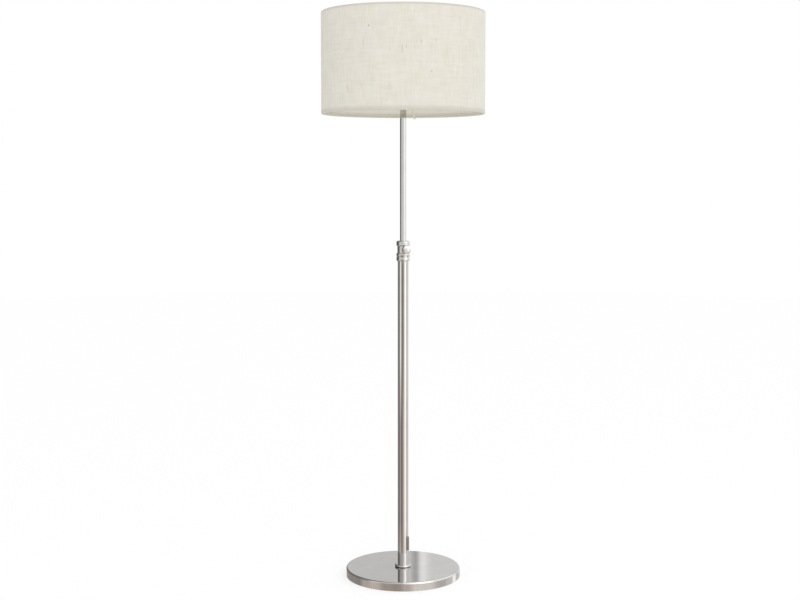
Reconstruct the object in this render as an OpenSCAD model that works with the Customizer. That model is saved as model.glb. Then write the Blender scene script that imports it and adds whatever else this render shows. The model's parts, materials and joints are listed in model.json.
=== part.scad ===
// Telescopic floor lamp: a drum shade on a slim tube that slides and turns in
// a wider tube, which stands on a round weighted base. A thumb screw in the
// collar locks the height.
// Millimetres, +Z up. The origin is the centre of the base, on the floor.

/* [Base] */
// Diameter of the base
base_d = 298; // [220:1:400]
// Height of the base's top over the floor
base_h = 23.3; // [22:0.1:40]
// Radius of the base's upper edge
base_edge_r = 4.2; // [2:0.1:6]
// Thickness of the plated base cover
cover_t = 1.2; // [0.6:0.1:1.4]
// Width of the lip that is crimped under the weight
lip_w = 3; // [1:0.5:8]
// Thickness of the iron weight's plate
weight_t = 12; // [6:0.5:13]
// Diameter of one felt pad
pad_d = 20; // [10:1:30]
// Thickness of one felt pad
pad_t = 3; // [2.8:0.1:5]
// How far the cover stays off the floor
pad_proud = 1; // [0.5:0.1:1.2]
// Number of felt pads
pad_count = 6; // [3:1:8]

/* [Foot] */
// Diameter of the ring round the foot of the lower tube
foot_d = 43; // [38:1:60]
// Height of that ring
foot_h = 6.6; // [3:0.1:9]
// Diameter of the bolt that holds the tube to the base
bolt_d = 10; // [6:1:11]
// Depth of that bolt in the tube's plug
bolt_grip = 22; // [12:1:26]
// Length of the plug in the foot of the lower tube
plug_h = 30; // [28:1:50]
// Diameter of the washer under the base
washer_d = 30; // [24:1:50]
// Thickness of that washer
washer_t = 2; // [1:0.1:2.5]

/* [Tubes] */
// Diameter of the lower tube
lower_tube_d = 28; // [25:0.5:36]
// Wall of the lower tube
lower_tube_wall = 1.2; // [0.8:0.1:1.8]
// Length of the lower tube
lower_tube_l = 823.3; // [700:0.1:1000]
// Diameter of the upper tube
upper_tube_d = 16; // [14:0.5:17]
// Wall of the upper tube
upper_tube_wall = 1; // [0.8:0.1:1.2]
// Length of the upper tube
upper_tube_l = 736; // [600:1:800]
// How much of the upper tube shows over the collar
pulled_out = 347; // [300:1:480]
// Length of the bush that slides in the lower tube
slide_bush_h = 30; // [16:1:60]
// Number of air grooves in that bush
groove_count = 3; // [2:1:6]

/* [Collar] */
// How far the collar's flanges stand out from the lower tube
flange_over = 3.3; // [2.5:0.1:6]
// How far the collar's neck stands out from the lower tube
neck_over = 0.7; // [0.2:0.1:2]
// Height of the collar's skirt, over the end of the lower tube
skirt_h = 22; // [16:0.1:40]
// Height of the collar's neck
neck_h = 16.5; // [12:0.1:30]
// Height of the collar's head
collar_head_h = 14.5; // [8:0.1:25]
// Depth of the hollow round the skirt
waist_depth = 0.5; // [0.2:0.1:1.4]
// Wall of the nylon guide bush in the collar
guide_wall = 2.5; // [1.5:0.1:3]

/* [Thumb screw] */
// Diameter of the thumb screw's knob
knob_d = 20.6; // [14:0.1:28]
// Height of the knob's domed face
knob_dome_h = 1.6; // [1:0.1:6]
// Length of the knob
knob_l = 12; // [8:0.1:16]
// Diameter of the thumb screw
screw_d = 5; // [4:0.5:6]
// Turn of the thumb screw from the front towards +X
knob_turn = 20; // [0:1:45]

/* [Cord outlet] */
// Diameter of the lead inside the lamp
lead_d = 4; // [3:0.1:5]
// Wall of the cord outlet
outlet_wall = 0.7; // [0.6:0.1:1.5]
// Height of the outlet's rounded top over the base
outlet_up = 81.8; // [60:0.1:140]
// Length of the outlet
outlet_l = 37; // [20:1:50]
// Turn of the outlet from +X towards the front
outlet_turn = 38; // [0:1:90]

/* [Lampholder] */
// Diameter of the lampholder's outer thread
holder_d = 39.5; // [39.5:0.5:42]
// Height of the lampholder's skirt over its flange
holder_h = 32; // [30:1:45]
// Diameter of the lampholder's flange
holder_flange_d = 50; // [48:1:56]
// Diameter of the lampholder's cap
cap_d = 42; // [42:0.5:46]
// Height of the lampholder's cap
cap_h = 24; // [24:0.5:32]
// Diameter inside the lamp thread
socket_d = 26.8; // [24:0.1:27]
// Depth of the lamp thread
socket_h = 27.4; // [20:0.1:28]
// Diameter of the hollow threaded nipple under the lampholder
nipple_d = 10; // [10:0.5:11]
// Diameter of the ring that clamps the shade
shade_ring_d = 54; // [50:1:58]
// Height of that ring
shade_ring_h = 8; // [5:0.5:14]

/* [Pull switch] */
// Slant of the pull from the vertical
pull_tilt = 16; // [8:1:20]
// Length of the pull's grip
grip_l = 26; // [16:1:34]
// Diameter of the grip's lower end
grip_d = 5.8; // [4.6:0.1:8]
// Diameter of the pull's rod
rod_d = 3; // [2:0.1:3.2]
// How far the pull travels
pull_travel = 8; // [3:0.5:9]

/* [Shade] */
// Diameter of the shade
shade_d = 420; // [300:5:520]
// Height of the shade
shade_h = 258; // [180:1:340]
// How far the shade's lower edge hangs below its carrier ring
shade_drop = 54; // [36:1:80]
// Thickness of the linen
fabric_t = 0.8; // [0.5:0.1:1.2]
// Thickness of the stiff liner behind the linen
liner_t = 0.5; // [0.3:0.1:1]
// Height of the turned-in hems
hem_h = 12; // [8:0.5:20]
// Diameter of the shade's wire
wire_d = 3; // [2.9:0.1:4]
// Diameter of the wire of its legs
leg_wire_d = 2.6; // [1.6:0.1:2.8]
// Number of legs between the carrier ring and the lower ring
leg_count = 3; // [3:1:4]
// How far each leg leans inwards before it turns level
leg_inset = 38; // [30:1:60]
// Outer diameter of the carrier ring
carrier_d = 60; // [60:1:80]
// Thickness of the carrier ring
carrier_t = 2; // [1:0.1:2.5]

/* [Hidden] */
$fn = 128;

// Clearances
cut = 0.5;          // how far a cutting shape runs past what it cuts
fit_gap = 0.05;     // round a piece that is fixed in its seat
run_gap = 0.08;     // round a piece that turns or slides in its seat
free_gap = 0.3;     // between pieces that only lie near each other
glue_gap = 0.02;    // between the linen and the liner behind it
hem_gap = 0.15;     // round the wires in the hems
clear_gap = 1;      // round a lead or bolt that passes through a hole

// Base, from the floor up
base_r = base_d / 2;
lip_in_r = base_r - cover_t - lip_w;
rim_z = pad_proud + cover_t;
weight_z = base_h - cover_t;
weight_r = base_r - cover_t - free_gap;
plate_z = weight_z - weight_t;
pad_wall = 2;
pad_at = lip_in_r - pad_wall - pad_d / 2;
rim_in_r = pad_at - pad_d / 2 - pad_wall;
rim_fillet = 4;

// Foot: a hexagon head has standard proportions to its thread
bolt_head_w = 1.7 * bolt_d;
bolt_head_h = 0.64 * bolt_d;

// Tubes
lower_r = lower_tube_d / 2;
lower_in_r = lower_r - lower_tube_wall;
lower_top_z = base_h + lower_tube_l;
upper_r = upper_tube_d / 2;
upper_in_r = upper_r - upper_tube_wall;

// Collar, from its skirt up
shoulder_t = 1.9;
collar_lip_t = 1.5;
collar_z = lower_top_z + shoulder_t - skirt_h;
neck_z = collar_z + skirt_h;
collar_head_z = neck_z + neck_h;
collar_top_z = collar_head_z + collar_head_h;
flange_r = lower_r + flange_over;
neck_r = lower_r + neck_over;
guide_r = upper_r + run_gap + guide_wall;
waist_r = 25;
waist_share = 0.47;
waist_z = collar_z + waist_share * skirt_h;
skirt_top_r = 3;
skirt_low_r = 2.8;
head_top_r = 4.5;
head_low_r = 3.2;

// Thumb screw: distances from the lamp's axis
screw_r = screw_d / 2;
clamp_z = neck_z + neck_h / 2;
pad_from = upper_r + free_gap;
pad_l = 4;
tip_l = 1.2;
tip_r = 1;
tip_rest = 0.1;
screw_from = pad_from + pad_l + tip_rest;
knob_gap = 0.6;
knob_from = flange_r + knob_gap;
knob_boss_l = 1.6;
knob_boss_r = knob_d / 3;
knob_low_r = 1.2;
knob_dome_r = (pow(knob_d / 2, 2) + pow(knob_dome_h, 2)) / (2 * knob_dome_h);
dimple_r = 1.3;
dimple_depth = 1;
screw_in_knob = 5;

// Upper tube and what slides in the lower tube
upper_top_z = collar_top_z + pulled_out;
upper_low_z = upper_top_z - upper_tube_l;
slide_r = lower_in_r - run_gap;
end_ring_r = (slide_r + upper_r) / 2;
end_flange_t = 2;
end_spigot_l = 8;
stop_ring_h = 4;
slide_z = upper_low_z + free_gap;
bush_round = 1;
groove_w = 3;
groove_depth = 1;

// Cord outlet and the lead inside the lamp
lead_r = lead_d / 2;
bore_r = lead_r + 2 * fit_gap;
outlet_r = bore_r + outlet_wall;
outlet_at = lower_r + outlet_r;
outlet_top_z = base_h + outlet_up;
lead_z = outlet_top_z - outlet_r - outlet_wall;
bend_r = 2 * lead_d;
clip_t = 0.9;
clip_r = outlet_r + free_gap;
clip_from = sqrt(pow(lower_in_r, 2) - pow(clip_r, 2)) - clip_t - fit_gap;
lead_low_z = lead_z + bend_r + free_gap;

// Lampholder, from the top of the upper tube up
nipple_r = nipple_d / 2;
nipple_wall = 1.5;
nipple_deep = 14;
plug_flange_t = 1.5;
top_plug_l = 18;
nut_t = 3;
nut_w = 1.4 * nipple_d;
cap_z = upper_top_z + plug_flange_t + nut_t;
cap_r = cap_d / 2;
cap_wall = 2;
cap_floor_t = 3;
cap_round = 10;
nipple_over = 2;
block_z = cap_z + cap_floor_t + nipple_over + clear_gap;
block_h = 10;
core_z = block_z + block_h;
core_h = 9;
core_room = 2;
core_r = cap_r - cap_wall - core_room;
flange_z = cap_z + cap_h;
holder_flange_t = 3;
flange_round = 0.8;
carrier_z = flange_z + holder_flange_t;
holder_r = holder_d / 2;
skirt_wall = 4.2;
skirt_round = 1.5;
spigot_h = 6;
shell_t = 0.5;
socket_r = socket_d / 2;
socket_floor_z = core_z + core_h;
ring_round = 1.2;
ring_grip_count = 18;
ring_grip_r = 2;
terminal_d = 4;
terminal_at = 11;
terminal_proud = 1;
contact_w = 5;
contact_t = 0.5;
contact_l = 9;
contact_edge = 2;
contact_foot = contact_l - contact_edge;
contact_well = 4;
contact_rise = asin((contact_well - contact_t) / (contact_foot + contact_w / 2));

// Pull switch: a slanted axis whose zero is a point in the lampholder's cap
pull_inset = 5.1;
pull_x = cap_r - pull_inset;
pull_z = cap_z + cap_round;
guide_in_s = 2;
guide_out_s = 16;
guide_wall_t = 1.9;
guide_round = 0.8;
rod_r = rod_d / 2;
pull_bore_r = rod_r + run_gap;
pull_guide_r = pull_bore_r + guide_wall_t;
grip_gap = 2;
grip_s = guide_out_s + pull_travel + grip_gap;
grip_top_d = 4.2;
grip_floor = 5;
grip_round = 1;
rod_in_s = -2;

// Shade
shade_r = shade_d / 2;
shade_z = carrier_z - shade_drop;
shade_top_z = shade_z + shade_h;
wire_r = wire_d / 2;
bend_in_r = wire_r + hem_gap;
bend_out_r = bend_in_r + fabric_t;
wire_at = shade_r - bend_out_r;
liner_r = shade_r - fabric_t - glue_gap;
flap_r = liner_r - liner_t - glue_gap;
flap_rise = 3;
hem_steps = 12;
liner_z = shade_z + bend_out_r + bend_in_r + glue_gap;
leg_r = leg_wire_d / 2;
weld_t = 0.2;
leg_weld_r = leg_r + weld_t;
weld_in = 1;
leg_notch = leg_wire_d + 4 * free_gap;
first_leg = 90;
carrier_in_r = holder_r + free_gap;

// A square section from inner to outer and low to top, with its outer corners rounded
module section(inner, outer, low, top, low_r = 0, top_r = 0) {
    difference() {
        translate([inner, low]) square([outer - inner, top - low]);
        if (low_r > 0) corner_waste(outer, low, low_r, -1);
        if (top_r > 0) corner_waste(outer, top, top_r, 1);
    }
}

// What a round of radius r takes off the outer corner at (x, z); up is 1 or -1
module corner_waste(x, z, r, up) {
    translate([x - r, z - up * r]) mirror([0, up < 0 ? 1 : 0]) difference() {
        square(r + cut);
        circle(r);
    }
}

// A ring whose section is made by section()
module ring(inner, outer, low, top, low_r = 0, top_r = 0) {
    rotate_extrude() section(inner, outer, low, top, low_r, top_r);
}

// A wire in the XZ plane from p to q, each [x, z]
module wire(p, q, r) {
    reach = q - p;
    translate([p[0], 0, p[1]]) rotate([0, atan2(reach[0], reach[1]), 0])
        cylinder(h = norm(reach), r = r);
}

// Turns +Z to the thumb screw's axis, which points out of the collar
module on_clamp_axis() {
    translate([0, 0, clamp_z]) rotate([0, 0, knob_turn]) rotate([90, 0, 0]) children();
}

// Turns +Z to the pull's axis, which points down and outwards
module on_pull_axis() {
    translate([pull_x, 0, pull_z]) rotate([0, 180 - pull_tilt, 0]) children();
}

// ---- Base ----

module base_cover() {
    color("silver") rotate_extrude() difference() {
        section(bolt_d / 2 + clear_gap, base_r, pad_proud, base_h, 0, base_edge_r);
        section(0, base_r - cover_t, rim_z, weight_z, 0, base_edge_r - cover_t);
        section(0, lip_in_r, 0, rim_z + cut);
    }
}

module base_weight() {
    color("dimgray") difference() {
        ring(bolt_d / 2 + clear_gap, weight_r, rim_z, weight_z, 0, base_edge_r);
        ring(0, rim_in_r, rim_z - cut, plate_z, 0, rim_fillet);
        pads(pad_d / 2 + free_gap, 0, pad_t);
    }
}

// The felt pads, or their pockets, in a circle near the edge
module pads(r, low, top) {
    for (i = [0 : pad_count - 1])
        rotate(i * 360 / pad_count) translate([pad_at, 0, low]) cylinder(h = top - low, r = r);
}

module base_pads() {
    color("black") pads(pad_d / 2, 0, pad_t);
}

// ---- Foot ----

module foot_ring() {
    color("silver") rotate_extrude() difference() {
        union() {
            section(lower_r + fit_gap, foot_d / 2 - foot_h / 2, base_h, base_h + foot_h);
            translate([foot_d / 2 - foot_h / 2, base_h + foot_h / 2]) circle(foot_h / 2);
        }
        section(0, lower_r + fit_gap, base_h - cut, base_h + foot_h + cut);
    }
}

module foot_bolt() {
    bolt_z = plate_z - washer_t;
    color("gray") union() {
        translate([0, 0, bolt_z - bolt_head_h])
            cylinder(h = bolt_head_h, d = bolt_head_w / cos(30), $fn = 6);
        translate([0, 0, bolt_z]) cylinder(h = base_h + bolt_grip - bolt_z, d = bolt_d);
    }
}

module foot_washer() {
    color("gray") ring(bolt_d / 2 + free_gap, washer_d / 2, plate_z - washer_t, plate_z);
}

module tube_plug() {
    color("gray") difference() {
        ring(0, lower_in_r - fit_gap, base_h, base_h + plug_h);
        translate([0, 0, base_h - cut])
            cylinder(h = bolt_grip + 2 * cut, r = bolt_d / 2 + fit_gap);
    }
}

// ---- Lower tube, cord outlet and collar ----

module lower_tube() {
    color("silver") difference() {
        ring(lower_in_r, lower_r, base_h, lower_top_z);
        at_outlet() translate([0, 0, lead_z]) rotate([0, 90, 0])
            cylinder(h = lower_r + cut, r = outlet_r + fit_gap);
    }
}

// Turns +X to the side of the tube where the cord leaves
module at_outlet() {
    rotate(-outlet_turn) children();
}

// A level round bar along +X from one distance to another
module spoke(from, to, r) {
    translate([from, 0, lead_z]) rotate([0, 90, 0]) cylinder(h = to - from, r = r);
}

module cord_outlet() {
    spout_z = outlet_top_z - outlet_r;
    spout_low_z = outlet_top_z - outlet_l;
    color("dimgray") at_outlet() difference() {
        union() {
            spoke(clip_from, outlet_at, outlet_r);
            spoke(clip_from, clip_from + clip_t, clip_r);
            translate([outlet_at, 0, spout_low_z])
                cylinder(h = spout_z - spout_low_z, r = outlet_r);
            translate([outlet_at, 0, spout_z]) sphere(outlet_r);
        }
        spoke(clip_from - cut, outlet_at, bore_r);
        translate([outlet_at, 0, spout_low_z - cut])
            cylinder(h = lead_z - spout_low_z + cut, r = bore_r);
        translate([outlet_at, 0, lead_z]) sphere(bore_r);
    }
}

module outlet_lead() {
    color("ivory") at_outlet() union() {
        spoke(bend_r, outlet_at, lead_r);
        translate([bend_r, 0, lead_z + bend_r]) rotate([90, 0, 0]) rotate(180)
            rotate_extrude(angle = 90) translate([bend_r, 0]) circle(lead_r, $fn = 32);
    }
}

module collar() {
    color("silver") difference() {
        rotate_extrude() difference() {
            union() {
                section(0, flange_r, collar_z, neck_z, skirt_low_r, skirt_top_r);
                section(0, neck_r, neck_z - skirt_top_r, collar_head_z + head_low_r);
                section(0, flange_r, collar_head_z, collar_top_z, head_low_r, head_top_r);
            }
            translate([flange_r - waist_depth + waist_r, waist_z]) circle(waist_r);
            section(0, lower_r + fit_gap, collar_z - cut, lower_top_z);
            section(0, guide_r + fit_gap, lower_top_z - cut, collar_top_z - collar_lip_t);
            section(0, upper_r + free_gap, collar_top_z - 2 * collar_lip_t, collar_top_z + cut);
        }
        on_clamp_axis() cylinder(h = flange_r + cut, r = screw_r + run_gap);
    }
}

module guide_bush() {
    color("ivory") difference() {
        ring(upper_r + run_gap, guide_r, lower_top_z, collar_top_z - collar_lip_t);
        on_clamp_axis() cylinder(h = flange_r, r = screw_r + run_gap);
    }
}

// ---- Thumb screw ----

module clamp_pad() {
    color("ivory") on_clamp_axis() difference() {
        translate([0, 0, pad_from]) cylinder(h = pad_l, r = screw_r - free_gap);
        translate([0, 0, pad_from + pad_l - tip_l - tip_rest])
            cylinder(h = tip_l + tip_rest + cut, r = tip_r + run_gap);
    }
}

module clamp_screw() {
    color("gray") on_clamp_axis() union() {
        translate([0, 0, screw_from - tip_l]) cylinder(h = tip_l + tip_rest, r = tip_r);
        translate([0, 0, screw_from])
            cylinder(h = knob_from + screw_in_knob - screw_from, r = screw_r);
    }
}

module clamp_knob() {
    knob_end = knob_from + knob_l;
    color("silver") on_clamp_axis() rotate_extrude() difference() {
        union() {
            section(0, knob_boss_r, knob_from, knob_from + knob_boss_l + knob_low_r);
            intersection() {
                section(0, knob_d / 2, knob_from + knob_boss_l, knob_end, knob_low_r);
                translate([0, knob_end - knob_dome_r]) circle(knob_dome_r);
            }
        }
        section(0, screw_r + fit_gap, knob_from - cut, knob_from + screw_in_knob);
        section(0, dimple_r, knob_end - dimple_depth, knob_end + cut);
    }
}

// ---- Upper tube ----

module slide_bush() {
    color("ivory") difference() {
        ring(upper_r + run_gap, slide_r, slide_z, slide_z + slide_bush_h, bush_round, bush_round);
        for (i = [0 : groove_count - 1])
            rotate(i * 360 / groove_count)
                translate([slide_r - groove_depth, -groove_w / 2, slide_z - cut])
                    cube([groove_depth + cut, groove_w, slide_bush_h + 2 * cut]);
    }
}

module upper_tube() {
    color("silver") ring(upper_in_r, upper_r, upper_low_z, upper_top_z);
}

module tube_end_cap() {
    color("ivory") rotate_extrude() difference() {
        union() {
            section(0, end_ring_r, upper_low_z - end_flange_t, upper_low_z);
            section(0, upper_in_r - fit_gap, upper_low_z, upper_low_z + end_spigot_l);
        }
        section(0, lead_r + clear_gap, upper_low_z - end_flange_t - cut,
            upper_low_z + end_spigot_l + cut);
    }
}

module stop_ring() {
    stop_z = slide_z + slide_bush_h + free_gap;
    color("gray") ring(upper_r + fit_gap, end_ring_r, stop_z, stop_z + stop_ring_h);
}

module inner_lead() {
    lead_top_z = block_z - free_gap;
    color("ivory") translate([0, 0, lead_low_z]) cylinder(h = lead_top_z - lead_low_z, r = lead_r);
}

module tube_top_plug() {
    color("silver") rotate_extrude() difference() {
        union() {
            section(0, upper_in_r - fit_gap, upper_top_z - top_plug_l, upper_top_z);
            section(0, upper_r, upper_top_z, upper_top_z + plug_flange_t);
        }
        section(0, nipple_r + fit_gap, upper_top_z - top_plug_l - cut,
            upper_top_z + plug_flange_t + cut);
    }
}

// ---- Lampholder ----

module nipple() {
    color("gold") ring(nipple_r - nipple_wall, nipple_r, upper_top_z - nipple_deep,
        cap_z + cap_floor_t + nipple_over);
}

module lock_nut() {
    color("gold") translate([0, 0, upper_top_z + plug_flange_t]) difference() {
        cylinder(h = nut_t, d = nut_w / cos(30), $fn = 6);
        translate([0, 0, -cut]) cylinder(h = nut_t + 2 * cut, r = nipple_r + fit_gap);
    }
}

module holder_cap() {
    color("ivory") difference() {
        rotate_extrude() difference() {
            section(nipple_r + fit_gap, cap_r, cap_z, flange_z, cap_round);
            section(0, cap_r - cap_wall, cap_z + cap_floor_t, flange_z + cut,
                cap_round - cap_wall);
            section(0, nipple_r + fit_gap, cap_z - cut, flange_z);
        }
        on_pull_axis() cylinder(h = guide_out_s, r = pull_guide_r + fit_gap);
    }
}

module switch_block() {
    color("dimgray") difference() {
        ring(0, core_r, block_z, core_z);
        on_pull_axis() translate([0, 0, rod_in_s - free_gap])
            cylinder(h = guide_out_s, r = pull_guide_r + free_gap);
        terminals(terminal_d / 2 + fit_gap, block_z - cut);
    }
}

// The two terminal screws, or their holes, under the switch block
module terminals(r, low) {
    for (side = [-1, 1])
        translate([0, side * terminal_at, low])
            cylinder(h = block_z + terminal_d - low, r = r);
}

module terminal_screws() {
    color("gold") terminals(terminal_d / 2, block_z - terminal_proud);
}

module holder_core() {
    color("white") difference() {
        ring(0, core_r, core_z, socket_floor_z);
        translate([0, 0, socket_floor_z - contact_well])
            cylinder(h = contact_well + cut, r = contact_l);
    }
}

module screw_shell() {
    color("gold") rotate_extrude() difference() {
        section(0, socket_r + shell_t, socket_floor_z, socket_floor_z + shell_t + socket_h);
        section(0, socket_r, socket_floor_z + shell_t, socket_floor_z + shell_t + socket_h + cut);
        section(0, contact_l, socket_floor_z - cut, socket_floor_z + 2 * shell_t);
    }
}

module centre_contact() {
    well_z = socket_floor_z - contact_well;
    color("gold") translate([-contact_foot, -contact_w / 2, well_z]) union() {
        cube([contact_foot, contact_w, contact_t]);
        rotate([0, -contact_rise, 0])
            cube([contact_foot + contact_w / 2, contact_w, contact_t]);
    }
}

module holder_skirt() {
    color("ivory") rotate_extrude() difference() {
        union() {
            section(0, cap_r - cap_wall - fit_gap, flange_z - spigot_h, flange_z);
            section(0, holder_flange_d / 2, flange_z, carrier_z, flange_round, flange_round);
            section(0, holder_r, flange_z + flange_round, carrier_z + holder_h, 0, skirt_round);
        }
        section(0, core_r + fit_gap, flange_z - spigot_h - cut, socket_floor_z);
        section(0, holder_r - skirt_wall, socket_floor_z - cut, carrier_z + holder_h + cut);
    }
}

module shade_ring() {
    ring_z = carrier_z + carrier_t;
    color("ivory") difference() {
        ring(holder_r + fit_gap, shade_ring_d / 2, ring_z, ring_z + shade_ring_h, 0, ring_round);
        for (i = [0 : ring_grip_count - 1])
            rotate(i * 360 / ring_grip_count)
                translate([shade_ring_d / 2 + ring_grip_r / 2, 0, ring_z - cut])
                    cylinder(h = shade_ring_h + 2 * cut, r = ring_grip_r);
    }
}

// ---- Pull switch ----

module pull_guide() {
    color("gold") on_pull_axis() rotate_extrude()
        section(pull_bore_r, pull_guide_r, guide_in_s, guide_out_s, 0, guide_round);
}

module pull_rod() {
    color("ivory") on_pull_axis() translate([0, 0, rod_in_s])
        cylinder(h = grip_s + grip_l - grip_floor - rod_in_s, r = rod_r);
}

module pull_grip() {
    grip_end = grip_s + grip_l;
    color("ivory") on_pull_axis() rotate_extrude() difference() {
        union() {
            polygon([
                [0, grip_s], [grip_top_d / 2, grip_s], [grip_d / 2, grip_end - grip_round],
                [0, grip_end - grip_round]
            ]);
            section(0, grip_d / 2, grip_end - 2 * grip_round, grip_end, 0, grip_round);
        }
        section(0, rod_r + fit_gap, grip_s - cut, grip_end - grip_floor);
    }
}

// ---- Shade ----

// Points along a round of radius r about [x, z], from one angle to another
function round_points(x, z, r, from, to) = [
    for (i = [0 : hem_steps]) let (a = from + (to - from) * i / hem_steps)
        [x + r * cos(a), z + r * sin(a)]
];

// The linen in section: one strip that turns in round both wires and up behind the liner
module linen_section() {
    low_z = shade_z + bend_out_r;
    high_z = shade_top_z - bend_out_r;
    low_flap_z = low_z + wire_r + flap_rise;
    high_flap_z = high_z - wire_r - flap_rise;
    polygon(concat(
        [[flap_r - fabric_t, shade_z + hem_h], [flap_r - fabric_t, low_flap_z]],
        [[wire_at - bend_out_r, low_z + wire_r]],
        round_points(wire_at, low_z, bend_out_r, 180, 360),
        round_points(wire_at, high_z, bend_out_r, 0, 180),
        [[wire_at - bend_out_r, high_z - wire_r]],
        [[flap_r - fabric_t, high_flap_z], [flap_r - fabric_t, shade_top_z - hem_h]],
        [[flap_r, shade_top_z - hem_h], [flap_r, high_flap_z]],
        [[wire_at - bend_in_r, high_z - wire_r]],
        round_points(wire_at, high_z, bend_in_r, 180, 0),
        round_points(wire_at, low_z, bend_in_r, 360, 180),
        [[wire_at - bend_in_r, low_z + wire_r]],
        [[flap_r, low_flap_z], [flap_r, shade_z + hem_h]]
    ));
}

module shade_fabric() {
    notch_from = wire_at - 2 * bend_out_r;
    color("linen") difference() {
        rotate_extrude() linen_section();
        at_legs() {
            translate([notch_from, -leg_notch / 2, shade_z - cut])
                cube([wire_at - wire_r / 2 - notch_from, leg_notch, hem_h + 2 * cut]);
            translate([notch_from, -leg_notch / 2, shade_z + bend_out_r])
                cube([flap_r + glue_gap - notch_from, leg_notch, hem_h]);
        }
    }
}

module shade_liner() {
    color("white") ring(liner_r - liner_t, liner_r, liner_z, shade_top_z + shade_z - liner_z);
}

module shade_top_ring() {
    color("white") rotate_extrude()
        translate([wire_at, shade_top_z - bend_out_r]) circle(wire_r, $fn = 32);
}

// Repeats its children at each leg; the first leg points straight back
module at_legs() {
    for (i = [0 : leg_count - 1]) rotate(first_leg + i * 360 / leg_count) children();
}

module shade_frame() {
    carrier_mid_z = carrier_z + carrier_t / 2;
    foot = [wire_at, shade_z + bend_out_r];
    knee = [wire_at - leg_inset, carrier_mid_z];
    color("white") union() {
        rotate_extrude() translate(foot) circle(wire_r, $fn = 32);
        ring(carrier_in_r, carrier_d / 2, carrier_z, carrier_z + carrier_t);
        at_legs() {
            wire(foot, knee, leg_r);
            wire(knee, [carrier_d / 2 - weld_in, carrier_mid_z], leg_r);
            translate([knee[0], 0, knee[1]]) sphere(leg_weld_r, $fn = 32);
        }
    }
}

base_cover();
base_weight();
base_pads();
foot_ring();
foot_bolt();
foot_washer();
tube_plug();
lower_tube();
cord_outlet();
outlet_lead();
collar();
guide_bush();
clamp_pad();
clamp_screw();
clamp_knob();
slide_bush();
inner_lead();
upper_tube();
tube_end_cap();
stop_ring();
tube_top_plug();
nipple();
lock_nut();
holder_cap();
switch_block();
terminal_screws();
holder_core();
screw_shell();
centre_contact();
holder_skirt();
pull_guide();
shade_ring();
shade_frame();
shade_top_ring();
shade_liner();
shade_fabric();
pull_rod();
pull_grip();
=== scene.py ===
"""Looks of the telescopic floor lamp: cloth, finishes, threads and stage, built round the CAD part."""

import json
import math

import bpy
from bpy.props import FloatProperty, FloatVectorProperty, IntProperty, PointerProperty
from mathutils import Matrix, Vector, noise


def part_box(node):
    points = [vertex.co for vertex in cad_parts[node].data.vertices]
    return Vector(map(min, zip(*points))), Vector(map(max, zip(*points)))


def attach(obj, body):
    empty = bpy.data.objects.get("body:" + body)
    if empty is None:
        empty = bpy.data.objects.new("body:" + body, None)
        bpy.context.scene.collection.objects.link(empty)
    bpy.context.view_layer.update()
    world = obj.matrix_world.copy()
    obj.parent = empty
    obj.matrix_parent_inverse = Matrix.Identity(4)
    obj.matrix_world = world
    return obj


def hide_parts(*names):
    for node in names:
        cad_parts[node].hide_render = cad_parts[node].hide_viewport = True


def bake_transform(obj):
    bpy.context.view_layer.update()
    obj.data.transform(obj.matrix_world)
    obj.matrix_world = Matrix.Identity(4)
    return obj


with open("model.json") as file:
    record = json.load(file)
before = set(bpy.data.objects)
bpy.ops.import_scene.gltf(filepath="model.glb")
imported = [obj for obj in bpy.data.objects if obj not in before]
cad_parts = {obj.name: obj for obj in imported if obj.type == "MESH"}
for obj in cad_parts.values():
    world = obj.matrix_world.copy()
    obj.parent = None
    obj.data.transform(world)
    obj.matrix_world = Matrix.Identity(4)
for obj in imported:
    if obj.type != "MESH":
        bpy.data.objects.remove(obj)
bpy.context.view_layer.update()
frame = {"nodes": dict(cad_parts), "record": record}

bl_info = {
    "name": "Telescopic Floor Lamp",
    "version": (1, 0, 0),
    "blender": (4, 5, 0),
    "location": "View3D > Sidebar > Floor Lamp",
    "description": "Linen drum, plated tubes, lampholder details and stage of a telescopic floor lamp",
    "category": "Add Mesh",
}

NODES = frame["nodes"]
MM = 0.001
DRUM_LOW, DRUM_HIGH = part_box("shade_fabric")
WIRE_LOW, WIRE_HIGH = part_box("shade_top_ring")
PAD_LOW, PAD_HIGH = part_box("base_pads")
LEAD_LOW, LEAD_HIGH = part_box("inner_lead")
SHELL_LOW, SHELL_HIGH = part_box("screw_shell")
SKIRT_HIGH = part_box("holder_skirt")[1]
RING_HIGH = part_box("shade_ring")[1]

# The photograph's camera, fitted to the outlines of the shade, collar and base. It looks a little down,
# which keeps the lens shift small, so that the whole lamp is in view from the other sides too.
PICTURE_W = 800
FOCAL_PX = 1331.5
AXIS_PX = 402.62
CAMERA_AWAY = 3.439
CAMERA_UP = 1.0305
CAMERA_PITCH_DEG = 4.208
CAMERA_SHIFT = -0.025
SENSOR_MM = 36.0


# ---- Small helpers ----


def linear(colour, alpha=1.0):
    """An sRGB hex colour, such as "E4E0D6", as linear RGBA."""
    parts = [int(colour[i : i + 2], 16) / 255 for i in (0, 2, 4)]
    return [p / 12.92 if p <= 0.04045 else ((p + 0.055) / 1.055) ** 2.4 for p in parts] + [alpha]


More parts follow.
